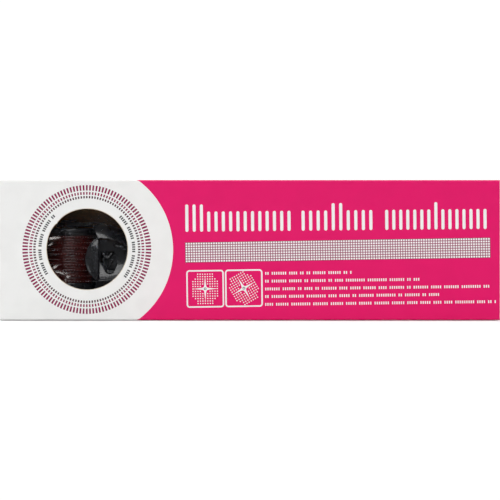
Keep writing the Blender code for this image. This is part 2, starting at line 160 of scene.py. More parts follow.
def board(name, c, rough=0.34, worn=True, varnish=0.05):
    """Varnished print on board: fine fibre relief under the ink, slight mottling, and rubbed creases."""
    m = Mat(name, rough, Coat_Weight=varnish, Coat_Roughness=0.25, Specular_IOR_Level=0.18)
    mottled = m.mix(m.remap(m.noise(0.16, 3), 0.35, 0.65, 0, 1), tint(c, 0.985), tint(c, 1.01))
    grained = m.mix(m.remap(m.noise(6.0, 2, 0.6), 0.55, 0.8, 0, 0.5), mottled, tint(c, 0.93))
    if worn:
        x, y, z = m.axes()
        near_y = m.math("SUBTRACT", BOX_D / 2, m.math("ABSOLUTE", y))
        near_z = m.math("SUBTRACT", BOX_H / 2, m.math("ABSOLUTE", m.math("SUBTRACT", z, BOX_H / 2)))
        near_x = m.math("SUBTRACT", BOX_L / 2, m.math("ABSOLUTE", x))
        fold = m.math("MAXIMUM", near_y, near_z)
        rub = m.math("ADD", m.remap(fold, 0.0, 0.34, 0.5, 0.0), m.remap(near_x, 0.0, 0.22, 0.45, 0.0))
        rub = m.math("MULTIPLY", rub, m.remap(m.noise(1.1, 4, 0.65), 0.42, 0.72, 0.0, 1.0))
        grained = m.mix(rub, grained, (0.80, 0.77, 0.72))
    m.colour(grained)
    m.rough(m.remap(m.noise(0.5, 3), 0.3, 0.7, rough - 0.04, rough + 0.07))
    m.bump(m.noise(3.5, 4, 0.6), 0.03, 0.35)
    return m.m


def kraft(name, c):
    """Uncoated brown board: long fibres, dark and pale flecks."""
    m = Mat(name, 0.85)
    along = m.noise(0.9, 6, 0.7, m.stretch(0.75, 1.2, 1.2))
    fleck = m.noise(4.2, 2, 0.5, m.stretch(0.6, 1.7, 1.7))
    col = m.mix(m.remap(along, 0.35, 0.68, 0, 1), tint(c, 0.8), tint(c, 1.14))
    col = m.mix(m.remap(fleck, 0.62, 0.72, 0, 0.6), col, tint(c, 0.5))
    col = m.mix(m.remap(fleck, 0.36, 0.27, 0, 0.4), col, tint(c, 1.6))
    m.colour(col)
    m.rough(m.remap(along, 0.3, 0.7, 0.78, 0.92))
    m.bump(m.math("ADD", along, fleck), 0.06, 0.6)
    return m.m


def moulded(name, c, rough, coat=0.0, peel=0.012, scatter=None, haze=0.06, **sockets):
    """Injection-moulded plastic: nearly smooth, with faint flow marks and handling haze in its gloss."""
    m = Mat(name, rough, Coat_Weight=coat, Coat_Roughness=haze, **sockets)
    m.colour(m.mix(m.remap(m.noise(0.45, 3), 0.35, 0.65, 0, 1), tint(c, 0.88), tint(c, 1.15)))
    smear = m.noise(0.35, 4, 0.6)
    fine = m.noise(4.0, 2, 0.5, m.stretch(0.4, 1.5, 1.5))
    m.rough(m.remap(m.math("MULTIPLY_ADD", fine, 0.08, smear), 0.4, 0.9, rough * 0.88, rough * 1.25))
    m.bump(m.noise(0.5, 1), peel, 0.2)
    if scatter:
        m.b.inputs["Subsurface Weight"].default_value = scatter
        m.b.inputs["Subsurface Radius"].default_value = (1.0, 0.15, 0.1)
        m.b.inputs["Subsurface Scale"].default_value = 0.0012
    return m.m


PINK = (0.745, 0.0045, 0.134)
WHITE = (0.835, 0.838, 0.825)
M_PINK = board("print_pink", PINK)
M_WHITE = board("print_white", WHITE)
M_TITLE = board("print_white_mark", (0.86, 0.86, 0.86))
M_DASH = board("print_dash", (0.25, 0.009, 0.075))
M_DOT = board("print_dot", (0.07, 0.008, 0.025))
M_GREY = board("print_grey", (0.035, 0.035, 0.038))
M_MESH = board("print_mesh_ground", (0.30, 0.055, 0.12))
M_RAW = board("raw_board_edge", (0.70, 0.63, 0.52), 0.7, worn=False, varnish=0.0)
M_LINER = board("board_liner", (0.66, 0.62, 0.55), 0.75, worn=False, varnish=0.0)
M_KRAFT = kraft("kraft_board_fine", (0.38, 0.195, 0.07))
M_BLACK = moulded("gloss_black_moulding", (0.009, 0.0095, 0.0125), 0.3, coat=1.0, haze=0.12, peel=0.006)
M_CLIP = moulded("gloss_black_clip", (0.022, 0.022, 0.025), 0.14, coat=1.0, peel=0.03)
M_WINE = moulded("wine_red_moulding", (0.052, 0.0045, 0.0038), 0.26, coat=0.2, scatter=0.25)
M_WHITE_BUSH = moulded("acetal_moulding", (0.78, 0.78, 0.75), 0.4)


def rubber_material():
    m = Mat("grip_rubber_fine", 0.62, Sheen_Weight=0.15)
    m.colour(m.mix(m.remap(m.noise(2.0, 4), 0.35, 0.7, 0, 1), (0.012, 0.012, 0.013), (0.03, 0.03, 0.031)))
    m.rough(m.remap(m.noise(0.6, 3), 0.3, 0.7, 0.52, 0.7))
    m.bump(m.noise(7.0, 2), 0.05, 0.5)
    return m.m


def steel_material():
    m = Mat("needle_steel", 0.22, 1.0)
    m.colour(m.mix(m.noise(5.0, 2), (0.52, 0.52, 0.54), (0.74, 0.74, 0.76)))
    m.rough(m.remap(m.noise(8.0, 2, 0.5, m.stretch(1, 1, 6)), 0.3, 0.7, 0.16, 0.34))
    m.bump(m.noise(9.0, 2, 0.5, m.stretch(1, 1, 8)), 0.01, 0.3)
    return m.m


def film_material():
    """Clear film: almost all light goes through, a few hundredths mirror off both faces, more where it is creased."""
    m = Mat("clear_film_fine", 0.08, 1.0)
    m.colour(m.mix(m.noise(0.3, 2), (0.92, 0.86, 0.82), (0.97, 0.95, 0.94)))
    m.rough(m.remap(m.noise(0.5, 3), 0.3, 0.7, 0.06, 0.13))
    m.bump(m.noise(0.8, 2, 0.5), 0.004, 0.1)
    t = m.n.new("ShaderNodeAttribute")
    t.attribute_name = "crease"
    m.l.new(m.remap(t.outputs["Fac"], 0.0, 1.0, 0.005, 0.11), m.b.inputs["Alpha"])
    return m.m


M_RUBBER, M_STEEL, M_FILM = rubber_material(), steel_material(), film_material()


# ------------------------------------------------------------------ mesh helpers
def link(o):
    bpy.context.scene.collection.objects.link(o)
    return o


def raw_object(name, bm, outward=True):
    if outward:
        bmesh.ops.recalc_face_normals(bm, faces=bm.faces)
    me = bpy.data.meshes.new(name)
    bm.to_mesh(me)
    bm.free()
    return link(bpy.data.objects.new(name, me))


def settle(o, body, mats, replaces=(), smooth=35.0):
    """A finished piece: millimetres to metres, its materials, and the body it rides on."""
    o.data.transform(Matrix.Scale(MM, 4))
    for m in mats:
        o.data.materials.append(m)
    if smooth is not None:
        o.data.shade_smooth()
        o.data.set_sharp_from_angle(angle=math.radians(smooth))
    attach(o, body)
    if replaces:
        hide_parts(*replaces)
    return o


def baked(o, name):
    """The evaluated mesh as a new plain object; the old one goes."""
    dg = bpy.context.evaluated_depsgraph_get()
    me = bpy.data.meshes.new_from_object(o.evaluated_get(dg))
    new = link(bpy.data.objects.new(name, me))
    bpy.data.objects.remove(o, do_unlink=True)
    return new


def boolean(target, bm, operation):
    c = raw_object("cut", bm)
    m = target.modifiers.new("b", "BOOLEAN")
    m.operation, m.solver, m.object = operation, "EXACT", c
    out = baked(target, target.name)
    bpy.data.objects.remove(c, do_unlink=True)
    return out


def melted(o, name, voxel, smooth):
    """Voxel remesh and relax, which rounds every edge as a mould does."""
    m = o.modifiers.new("v", "REMESH")
    m.mode, m.voxel_size = "VOXEL", voxel
    s = o.modifiers.new("s", "SMOOTH")
    s.factor, s.iterations = 0.5, smooth
    return baked(o, name)


def prism(bm, outer, place, h0, h1):
    lo = [bm.verts.new(place(u, v, h0)) for u, v in outer]
    hi = [bm.verts.new(place(u, v, h1)) for u, v in outer]
    n = len(outer)
    bm.faces.new(lo[::-1])
    bm.faces.new(hi)
    for i in range(n):
        bm.faces.new((lo[i], lo[(i + 1) % n], hi[(i + 1) % n], hi[i]))


def fillet(points, closed=True, n=4):
    """Rounds the corners of a profile. Each point is (u, v) or (u, v, radius)."""
    out, k = [], len(points)
    for i, p in enumerate(points):
        r = p[2] if len(p) > 2 else 0.0
        if r <= 0 or (not closed and i in (0, k - 1)):
            out.append((p[0], p[1]))
            continue
        a, b, c = (Vector(points[j % k][:2]) for j in (i - 1, i, i + 1))
        d0, d1 = (a - b).normalized(), (c - b).normalized()
        ang = d0.angle(d1)
        t = r / math.tan(ang / 2)
        mid = b + (d0 + d1).normalized() * (r / math.sin(ang / 2))
        s, e = b + d0 * t - mid, b + d1 * t - mid
        turn = s.angle_signed(e)
        for q in range(n + 1):
            w = -turn * q / n
            out.append((mid.x + s.x * math.cos(w) - s.y * math.sin(w), mid.y + s.x * math.sin(w) + s.y * math.cos(w)))
    return out


def turned(bm, profile, n, place, closed=True):
    rings = []
    for r, h in profile:
        if r < 1e-6:
            rings.append([bm.verts.new(place(0, 0, h))])
        else:
            rings.append([bm.verts.new(place(r * math.cos(TAU * i / n), r * math.sin(TAU * i / n), h)) for i in range(n)])
    pairs = list(zip(rings, rings[1:]))
    if closed:
        pairs.append((rings[-1], rings[0]))
    for a, b in pairs:
        for i in range(n):
            j = (i + 1) % n
            if len(a) == 1 and len(b) > 1:
                bm.faces.new((a[0], b[i], b[j]))
            elif len(b) == 1 and len(a) > 1:
                bm.faces.new((a[i], b[0], a[j]))
            elif len(a) > 1:
                bm.faces.new((a[i], b[i], b[j], a[j]))


def loft(bm, loops, ring=False):
    rows = [[bm.verts.new(p) for p in loop] for loop in loops]
    n = len(rows[0])
    pairs = list(zip(rows, rows[1:]))
    if ring:
        pairs.append((rows[-1], rows[0]))
    for a, b in pairs:
        for i in range(n):
            j = (i + 1) % n
            bm.faces.new((a[i], a[j], b[j], b[i]))
    if not ring:
        bm.faces.new(rows[0])
        bm.faces.new(rows[-1])


def curve_table(table):
    """Monotone cubic through the rows of a table (x, values...)."""
    xs = [r[0] for r in table]
    cols = list(zip(*[r[1:] for r in table]))
    slopes = []
    for col in cols:
        d = [(col[i + 1] - col[i]) / (xs[i + 1] - xs[i]) for i in range(len(xs) - 1)]
        m = [d[0]] + [0 if a * b <= 0 else 2 * a * b / (a + b) for a, b in zip(d, d[1:])] + [d[-1]]
        slopes.append(m)

    def at(x):
        x = min(max(x, xs[0]), xs[-1])
        i = max(k for k in range(len(xs) - 1) if xs[k] <= x or k == 0)
        h = xs[i + 1] - xs[i]
        t = (x - xs[i]) / h
        out = []
        for col, m in zip(cols, slopes):
            a, b = col[i], col[i + 1]
            out.append(
                (2 * t**3 - 3 * t**2 + 1) * a + (t**3 - 2 * t**2 + t) * h * m[i] + (3 * t**2 - 2 * t**3) * b + (t**3 - t**2) * h * m[i + 1]
            )
        return out

    return at


def on_drum(u, v, h):
    return (AX + u, AY + v, AZ + h)


def roller(a, b, c):
    return (AX + a, AY + b, AZ + c)


def squircle(half_c, front, back, power, n):
    mid, deep = (front + back) / 2, (back - front) / 2
    out = []
    for i in range(n):
        t = TAU * i / n
        x, y = math.cos(t), math.sin(t)
        out.append((mid + deep * math.copysign(abs(y) ** (2 / power), y), half_c * math.copysign(abs(x) ** (2 / power), x)))
    return out


def arc(cx, cy, r, a0, a1, n):
    return [
        (cx + r * math.cos(math.radians(a0 + (a1 - a0) * i / n)), cy + r * math.sin(math.radians(a0 + (a1 - a0) * i / n)))
        for i in range(n + 1)
    ]


# ------------------------------------------------------------------ the printed sleeve, cut and printed flat, then folded
PX = 165.0 / 500.0  # one unit of the print's layout grid


def lay(x, y):
    """Layout grid (500 across the face, y down) to the flat blank: u along the box, v up the front panel."""
    return ((x - 250) * PX, (320 - y) * PX)


class Blank:
    """Shapes in paint order. The last shape over a spot gives its ink."""

    def __init__(self):
        self.faces, self.inks = [], []

    def add(self, pts, ink):
        self.faces.append(pts)
        self.inks.append(ink)

    def rect(self, cx, cy, w, h, ang, ink, r=0.0):
        """In layout units, ang in degrees anticlockwise. r rounds the corners."""
        pts = []
        if r > 0:
            for sx, sy, a0 in ((1, 1, 0), (-1, 1, 90), (-1, -1, 180), (1, -1, 270)):
                pts += arc(sx * (w / 2 - r), sy * (h / 2 - r), r, a0, a0 + 90, 3 if r < 1.6 else 5)
        else:
            pts = [(w / 2, h / 2), (-w / 2, h / 2), (-w / 2, -h / 2), (w / 2, -h / 2)]
        t = math.radians(ang)
        self.add([lay(cx + p * math.cos(t) - q * math.sin(t), cy - (p * math.sin(t) + q * math.cos(t))) for p, q in pts], ink)

    def frame(self, cx, cy, w, h, ang, line, ink, ground, r):
        self.rect(cx, cy, w, h, ang, ink, r)
        self.rect(cx, cy, w - 2 * line, h - 2 * line, ang, ground, max(r - line, 0.4))

    def star(self, cx, cy, arm, ang, ink):
        pts = []
        for i in range(4):
            for k, rr in ((0, 1.0), (0.19, 0.26), (0.5, 0.17), (0.81, 0.26)):
                t = math.radians(ang + 90 * (i + k))
                pts.append(lay(cx + arm * rr * math.cos(t), cy - arm * rr * math.sin(t)))
        self.add(pts, ink)


INKS = [M_PINK, M_WHITE, M_TITLE, M_DASH, M_DOT, M_GREY, M_MESH, M_RAW, M_LINER]
I_PINK, I_WHITE, I_TITLE, I_DASH, I_DOT, I_GREY, I_MESH, I_RAW, I_LINER = range(9)
HOLE = -1

SLOPE = 0.8  # the print runs up slightly to the right


def ticks(blank, rng, x0, x1, y, height, ang, ink, pitch=2.2):
    """A line of identical small marks in groups, in place of small print."""
    t = math.radians(ang)
    x = x0
    while x < x1 - 1:
        for _ in range(rng.choice((2, 4, 5, 6, 7, 9))):
            blank.rect(x + 0.6, y - (x + 0.6 - x0) * math.tan(t), 1.2, height * 0.64, ang, ink)
            x += pitch
            if x >= x1:
                return
        x += 2.1


def headline(blank, groups, base, low, high, ang, ink, pitch=7.25, wide=3.1):
    """Groups of plain upright pills on a common line, in place of a headline. Each group is (x0, x1, tall ones)."""
    t = math.radians(ang)
    first = groups[0][0]
    for x0, x1, tall in groups:
        n = round((x1 - x0 - wide) / pitch)
        for i in range(n + 1):
            x = x0 + wide / 2 + (x1 - x0 - wide) * i / n
            h = high if i in tall else low
            drop = -(x - first) * math.tan(t)
            blank.rect(x, base + drop - h / 2, wide, h, ang, ink, wide / 2 - 0.05)


def icon(blank, cx, cy, size, ang, turn, ground):
    """Outlined square with a cross of dots and a four-pointed star."""
    blank.frame(cx, cy, size, size, ang, 1.5, I_TITLE, ground, 3.2)
    t = math.radians(turn)
    for i in range(-5, 6):
        for j in range(-6, 7):
            if (abs(i) <= 3 or abs(j) <= 4) and not (abs(i) == 5 and abs(j) == 4):
                px, py = i * 2.44, j * 2.44
                if (abs(i) <= 1 and abs(j) <= 1) or (i == 0 and abs(j) <= 4) or (j == 0 and abs(i) <= 4):
                    continue
                q = (cx + px * math.cos(t) - py * math.sin(t), cy - (px * math.sin(t) + py * math.cos(t)))
                blank.rect(q[0], q[1], 1.12, 1.12, turn, I_TITLE)
    blank.star(cx, cy, 12.8, turn, I_TITLE)
    blank.rect(cx, cy, 2.6, 2.6, turn, I_GREY, 1.2)
    blank.rect(cx, cy, 1.5, 1.5, turn, I_TITLE, 0.7)


def front_print(b):
    rng = random.Random(7)
    # the white end: everything left of a large circle
    cx, cy, r = 86.1, 250.0, 87.0
    dy = 72.0
    a = math.degrees(math.asin(dy / r))
    end = [lay(cx + r * math.cos(math.radians(t)), cy - r * math.sin(math.radians(t))) for t in [-a + 2 * a * i / 72 for i in range(73)]]
    edge_x = lay(cx + math.sqrt(r * r - dy * dy), 0)[0]
    V0, V1 = V_END[0] - 1, V_END[1] + 1
    b.add([(-84.0, V0), (edge_x, V0)] + end + [(edge_x, V1), (-84.0, V1)], I_WHITE)
    # three rings of dashes round the window
    rx, ry = 86.8, 249.5
    for r0, r1, duty, ink in ((51.2, 53.6, 0.54, I_DOT), (54.8, 57.6, 0.52, I_DASH), (59.0, 64.4, 0.55, I_DASH)):
        for k in range(120):
            t, half = 360 / 120 * k, 360 / 120 * duty / 2
            pts = []
            for rr, sgn in ((r0, -1), (r1, -1), (r1, 1), (r0, 1)):
                w = math.radians(t + sgn * half)
                pts.append(lay(rx + rr * math.cos(w), ry - rr * math.sin(w)))
            b.add(pts, ink)
    # placeholder marks that follow the window
    for a0, a1 in ((211, 132), (44, -36)):
        t = a0
        while t > a1:
            for _ in range(rng.choice((5, 6, 6))):
                pts = []
                for rr, sgn in ((45.4, -1), (48.5, -1), (48.5, 1), (45.4, 1)):
                    q = math.radians(t + sgn * 0.82)
                    pts.append(lay(rx + rr * math.cos(q), ry - rr * math.sin(q)))
                b.add(pts, I_GREY)
                t -= 2.75
                if t <= a1:
                    break
            t -= 2.6
    # headline
    headline(b, ((185.3, 290.6, (0, 1, 2)), (301.6, 372.4, (4, 5)), (385.2, 486.6, (7,))), 231.9, 20.2, 27.4, 0.55, I_TITLE)
    # mesh strip: white squares on a soft ground
    n, rows, pitch = 122, 8, 2.5
    ang = 0.93
    t = math.radians(ang)
    mx, my = 337.8, 250.1
    b.rect(mx, my, n * pitch + 0.4, rows * pitch + 0.4, ang, I_MESH)
    for i in range(n):
        for j in range(rows):
            u, v = (i - (n - 1) / 2) * pitch, (j - (rows - 1) / 2) * pitch
            b.rect(mx + u * math.cos(t) - v * math.sin(t), my - (u * math.sin(t) + v * math.cos(t)), 1.72, 1.72, ang, I_TITLE)
    # two picture boxes
    icon(b, 205.2, 288.8, 37.6, 0.8, 0.8, I_PINK)
    icon(b, 243.9, 288.2, 37.6, 0.8, 30.0, I_PINK)
    # five lines of small print
    for y, end_x in ((273.4, 351.7), (281.2, 419.0), (289.0, 490.0), (296.6, 439.5), (304.4, 495.6)):
        ticks(b, rng, 265.2, end_x, y, 4.3, 0.7, I_TITLE)


def other_print(b):
    """Top, bottom and back carry the same style: their layout grid is moved to each panel by an offset in v."""
    rng = random.Random(11)

    class Shift:
        def __init__(self, dv, du=0.0, half=False):
            self.dv, self.du = dv, du

        def __enter__(self):
            self.start = len(b.faces)

        def __exit__(self, *a):
            for i in range(self.start, len(b.faces)):
                b.faces[i] = [(u + self.du, v + self.dv) for u, v in b.faces[i]]

    # top panel: its middle is 41.1 mm above the front panel's middle
    with Shift(V_TOP_MID - BOX_H / 2):
        headline(b, ((200.0, 300.0, (0, 1)), (310.0, 366.0, (3,)), (376.0, 440.0, ())), 255.0, 15.0, 19.5, 0.0, I_TITLE, 5.6, 2.5)
        b.rect(320, 266, 240, 0.9, 0, I_TITLE)
        ticks(b, rng, 200, 420, 274, 4.0, 0, I_TITLE)
        for k in range(60):
            t = 6.0 * k
            pts = []
            for rr, sgn in ((24.0, -1), (30.0, -1), (30.0, 1), (24.0, 1)):
                w = math.radians(t + sgn * 1.5)
                pts.append(lay(66 + rr * math.cos(w), 250 - rr * math.sin(w)))
            b.add(pts, I_DASH)
        b.star(66, 250, 15, 0, I_DASH)
    with Shift(V_BOT_MID - BOX_H / 2):
        for y, end_x in ((236, 330), (244, 372), (252, 318), (260, 360), (268, 342)):
            ticks(b, rng, 200, end_x, y, 4.0, 0, I_TITLE)
        b.frame(430, 252, 44, 44, 0, 1.3, I_TITLE, I_PINK, 3)
        b.star(430, 252, 14, 0, I_TITLE)
    # back panel runs down from the top crease, so it is written upside down on the flat blank
    start = len(b.faces)
    b.rect(335, 250, 278, 100, 0, I_WHITE, 6)
    for i in range(4):
        cx = 222 + i * 44
        b.frame(cx, 224, 36, 36, 0, 1.3, I_DASH, I_WHITE, 3.2)
        b.star(cx, 224, 12 - 1.5 * i, 15 * i, I_DASH)
        ticks(b, rng, cx - 16, cx + 16, 249, 3.6, 0, I_GREY)
    for k, (y, end_x) in enumerate(((262, 372), (270, 352), (278, 378), (286, 340))):
        ticks(b, rng, 206, end_x, y, 3.9, 0, I_GREY)
    for k, (y, end_x) in enumerate(((216, 462), (224, 454), (232, 466), (240, 440), (248, 462), (262, 458), (270, 446), (278, 464), (286, 430))):
        ticks(b, rng, 400, end_x, y, 3.9, 0, I_GREY)
    for k in range(90):
        t = 4.0 * k
        for r0, r1 in ((27, 29), (32, 37)):
            pts = []
            for rr, sgn in ((r0, -1), (r1, -1), (r1, 1), (r0, 1)):
                w = math.radians(t + sgn * 1.0)
                pts.append(lay(412 + rr * math.cos(w) - 326, 250 - rr * math.sin(w)))
            b.add(pts, I_DASH)
    b.star(86, 250, 17, 45, I_DASH)
    for i in range(start, len(b.faces)):
        b.faces[i] = [(-u, V_BACK_MID - (v - BOX_H / 2)) for u, v in b.faces[i]]


FOLD_R = 0.55
FLAP_Y = BOX_D / 2 - BOARD - 0.1
FLAP_H = 12.0
CORNERS = [(FLAP_Y, FLAP_H), (FLAP_Y, 0.0), (-BOX_D / 2, 0.0), (-BOX_D / 2, BOX_H), (BOX_D / 2, BOX_H), (BOX_D / 2, 0.1)]
V_AT = [-(FLAP_Y + BOX_D / 2) - FLAP_H, -(FLAP_Y + BOX_D / 2), 0.0, BOX_H, BOX_H + BOX_D, 2 * BOX_H + BOX_D - 0.1]
V_END = (V_AT[0], V_AT[-1])
V_TOP_MID, V_BOT_MID, V_BACK_MID = BOX_H + BOX_D / 2, -BOX_D / 2, BOX_H + BOX_D + BOX_H / 2


def folded(u, v):
    """Outer surface point and normal of the folded board for a spot on the flat blank."""
    i = max(k for k in range(len(V_AT) - 1) if V_AT[k] <= v + 1e-9 or k == 0)
    d = [((CORNERS[k + 1][0] - CORNERS[k][0]) / (V_AT[k + 1] - V_AT[k]), (CORNERS[k + 1][1] - CORNERS[k][1]) / (V_AT[k + 1] - V_AT[k])) for k in range(5)]
    for k in range(1, 5):
        s = v - V_AT[k]
        if abs(s) <= FOLD_R:
            d0, d1 = d[k - 1], d[k]
            n0, n1 = (-d0[1], d0[0]), (-d1[1], d1[0])
            cx = CORNERS[k][0] + FOLD_R * (d1[0] - d0[0])
            cz = CORNERS[k][1] + FOLD_R * (d1[1] - d0[1])
            t = (s + FOLD_R) / (2 * FOLD_R) * math.pi / 2
            n = (math.cos(t) * n0[0] + math.sin(t) * n1[0], math.cos(t) * n0[1] + math.sin(t) * n1[1])
            return Vector((u, cx + FOLD_R * n[0], cz + FOLD_R * n[1])), Vector((0, n[0], n[1]))
    s = v - V_AT[i]
    return (
        Vector((u, CORNERS[i][0] + d[i][0] * s, CORNERS[i][1] + d[i][1] * s)),
        Vector((0, -d[i][1], d[i][0])),
    )


def window_outline():
    """The die-cut edge: a circle, a little flat at the upper left, with two torn nicks."""
    pts = []
    n = 160
    for i in range(n):
        t = 360 * i / n
        r = WIN_R + 0.03 * math.sin(math.radians(3 * t + 40)) - 0.16 * math.exp(-(((t - 137) / 9) ** 2))
        for t0, deep, wide in ((139.5, 0.26, 1.1), (310.0, 0.2, 1.0)):
            r -= deep * max(0.0, 1 - abs(t - t0) / wide)
        pts.append((WIN_X + r * math.cos(math.radians(t)), WIN_Z + r * math.sin(math.radians(t))))
    return pts


def make_sleeve():
    b = Blank()
    half = BOX_L / 2
    outline = [(-half, V_END[0]), (half, V_END[0])]
    for mid in (V_BOT_MID, V_TOP_MID):
        w = math.degrees(math.acos(-1.0 / 9.0))
        outline += [(half + 1.0 + 9.0 * math.cos(math.radians(t)), mid + 9.0 * math.sin(math.radians(t))) for t in [360 - w - 0 + (2 * w - 360) * i / 24 for i in range(25)]]
    outline += [(half, V_END[1]), (-half, V_END[1])]
    b.add(outline, I_PINK)
    front_print(b)
    other_print(b)
    hole = window_outline()
    b.add([(WIN_X + (x - WIN_X) * 1.016, WIN_Z + (z - WIN_Z) * 1.016) for x, z in hole], I_RAW)
    b.add(hole, HOLE)
    verts, faces, edges = [], [], []
    for f in b.faces:
        faces.append(list(range(len(verts), len(verts) + len(f))))
        verts += [Vector(p) for p in f]
    for v0 in V_AT[1:5]:
        for k in range(6):
            s = FOLD_R * (-1 + 2 * k / 5)
            edges.append((len(verts), len(verts) + 1))
            verts += [Vector((-half, v0 + s)), Vector((half, v0 + s))]
    out_v, _, out_f, _, _, orig = geometry.delaunay_2d_cdt(verts, edges, faces, 1, 1e-5)
    keep = []
    for f, who in zip(out_f, orig):
        if 0 not in who:
            continue
        ink = b.inks[max(who)]
        if ink != HOLE:
            keep.append((list(f), ink))
    used = sorted({i for f, _ in keep for i in f})
    index = {v: i for i, v in enumerate(used)}
    n = len(used)
    pts, nor = [], []
    for i in used:
        p, q = folded(out_v[i].x, out_v[i].y)
        pts.append(p)
        nor.append(q)
    inner = [p - q * BOARD for p, q in zip(pts, nor)]
    mesh_faces, mats, kinds = [], [], []
    count = {}
    for f, ink in keep:
        g = [index[i] for i in f]
        for a, c in zip(g, g[1:] + g[:1]):
            count[(a, c)] = count.get((a, c), 0) + 1
        mesh_faces.append(g)
        mats.append(ink)
        kinds.append(1)
    for f, ink in keep:
        g = [index[i] + n for i in f][::-1]
        mesh_faces.append(g)
        mats.append(I_LINER)
        kinds.append(-1)
    for (a, c), k in list(count.items()):
        if (c, a) not in count:
            mesh_faces.append([c, a, a + n, c + n])
            mats.append(I_RAW)
            kinds.append(0)
    me = bpy.data.meshes.new("sleeve_print")
    me.from_pydata([tuple(p) for p in pts + inner], [], mesh_faces)
    me.update()
    for m in INKS:
        me.materials.append(m)
    me.polygons.foreach_set("material_index", mats)
    # turn the whole thing the right way out if the blank's winding put it inside out
    first = me.polygons[0]
    flip = first.normal.dot(nor[mesh_faces[0][0]]) < 0
    if flip:
        me.flip_normals()
    me.shade_smooth()
    normals = []
    for poly, kind in zip(me.polygons, kinds):
        for li in poly.loop_indices:
            vi = me.loops[li].vertex_index
            if kind == 1:
                normals.append(nor[vi])
            elif kind == -1:
                normals.append(-nor[vi - n])
            else:
                normals.append(poly.normal.copy())
    o = link(bpy.data.objects.new("sleeve_board", me))
    o.data.transform(Matrix.Scale(MM, 4))
    me.normals_split_custom_set(normals)
    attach(o, "sleeve")
    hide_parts("printed_sleeve")
    return o


make_sleeve()


# ------------------------------------------------------------------ the window film
def film_relief(x, z, creases=True):
    """Depth of the film behind the flat panel, in mm (positive is inward), with creases near its left side."""
    d = math.hypot(x - WIN_X, z - WIN_Z)
    free = max(0.0, 1 - (d / 16.5) ** 4)
    # the film can only stand proud where the board is cut away
    open_part = max(0.0, min(1.0, (WIN_R - 0.12 - d) / 0.35))
    h = 0.006 * (z - WIN_Z + 17) + 0.02 * free * (1 + math.sin(0.31 * x + 1.0) * math.cos(0.23 * z))

    def ridge(x0, y0, x1, y1, tall, wide):
        (ax, az), (bx, bz) = lay(x0, y0), lay(x1, y1)
        dx, dz = bx - ax, bz - az
        t = max(0.0, min(1.0, ((x - ax) * dx + (z - az) * dz) / (dx * dx + dz * dz)))
        q = math.hypot(x - ax - t * dx, z - az - t * dz)
        return tall * math.exp(-((q / wide) ** 2)) * (0.35 + 0.65 * math.sin(math.pi * min(1, 0.12 + 0.88 * t)))

    for r in () if not creases else (
        (44, 240.5, 60, 238.5, -0.34, 0.62),
        (48, 247.0, 53, 243.5, -0.2, 0.40),
        (45, 251.5, 58, 250.5, -0.05, 0.34),
        (45, 256.0, 60, 255.0, -0.05, 0.32),
        (46, 261.0, 57, 260.0, -0.045, 0.32),
        (47, 266.0, 54, 263.0, -0.07, 0.36),
        (51, 271.0, 57, 266.5, -0.36, 0.5),
        (55, 272.5, 66, 274.5, -0.26, 0.45),
        (62, 274.0, 69, 278.5, -0.3, 0.5),
        (64, 283.0, 69, 277.5, -0.3, 0.5),
        (62, 232.0, 52, 235.5, -0.05, 0.5),
    ):
        h += open_part * ridge(*r)
    return h


def make_film():
    n = 150
    x0, x1, z0, z1 = F_LO[0], F_HI[0], F_LO[2], F_HI[2]
    y_face = F_LO[1] + 0.05
    bm = bmesh.new()
    grids = []
    for thick in (0.0, 0.06):
        rows = []
        for i in range(n + 1):
            row = []
            for j in range(n + 1):
                u, v = i / n * 2 - 1, j / n * 2 - 1
                # a square with rounded corners
                k = 1 - 0.06 * (abs(u) * abs(v)) ** 8
                x = (x0 + x1) / 2 + u * k * (x1 - x0) / 2
                z = (z0 + z1) / 2 + v * k * (z1 - z0) / 2
                row.append(bm.verts.new((x, y_face + thick + film_relief(x, z), z)))
            rows.append(row)
        grids.append(rows)
    for g, rows in enumerate(grids):
        for i in range(n):
            for j in range(n):
                q = (rows[i][j], rows[i + 1][j], rows[i + 1][j + 1], rows[i][j + 1])
                bm.faces.new(q if g == 0 else q[::-1])
    rim = [(i, 0) for i in range(n)] + [(n, j) for j in range(n)] + [(i, n) for i in range(n, 0, -1)] + [(0, j) for j in range(n, 0, -1)]
    for (i, j), (k, l) in zip(rim, rim[1:] + rim[:1]):
        bm.faces.new((grids[0][k][l], grids[0][i][j], grids[1][i][j], grids[1][k][l]))
    o = raw_object("film_sheet", bm)
    mark = o.data.attributes.new("crease", "FLOAT", "POINT")
    for v, slot in zip(o.data.vertices, mark.data):
        c = v.co
        slot.value = min(1.0, abs(film_relief(c.x, c.z) - film_relief(c.x, c.z, False)) / 0.22)
    settle(o, "sleeve", [M_FILM], ["window_film"], 60)


make_film()


# ------------------------------------------------------------------ the fork head
HEAD = curve_table([
    (4.6, 8.4, -10.15, 3.6),
    (5.6, 10.0, -10.4, 4.2),
    (6.8, 11.2, -10.6, 4.7),
    (9.0, 12.1, -10.75, 5.1),
    (12.0, 11.9, -10.6, 5.3),
    (15.5, 10.9, -10.1, 5.3),
    (19.5, 9.1, -9.2, 5.0),
    (24.0, 7.4, -8.2, 4.6),
    (28.0, 6.5, -7.5, 4.2),
    (31.9, 6.2, -7.1, 4.1),
])
ARM_IN, ARM_OUT = 10.85, 12.35
LIP_A, CHORD_A, CHORD_C = 5.7, 9.6, 7.1


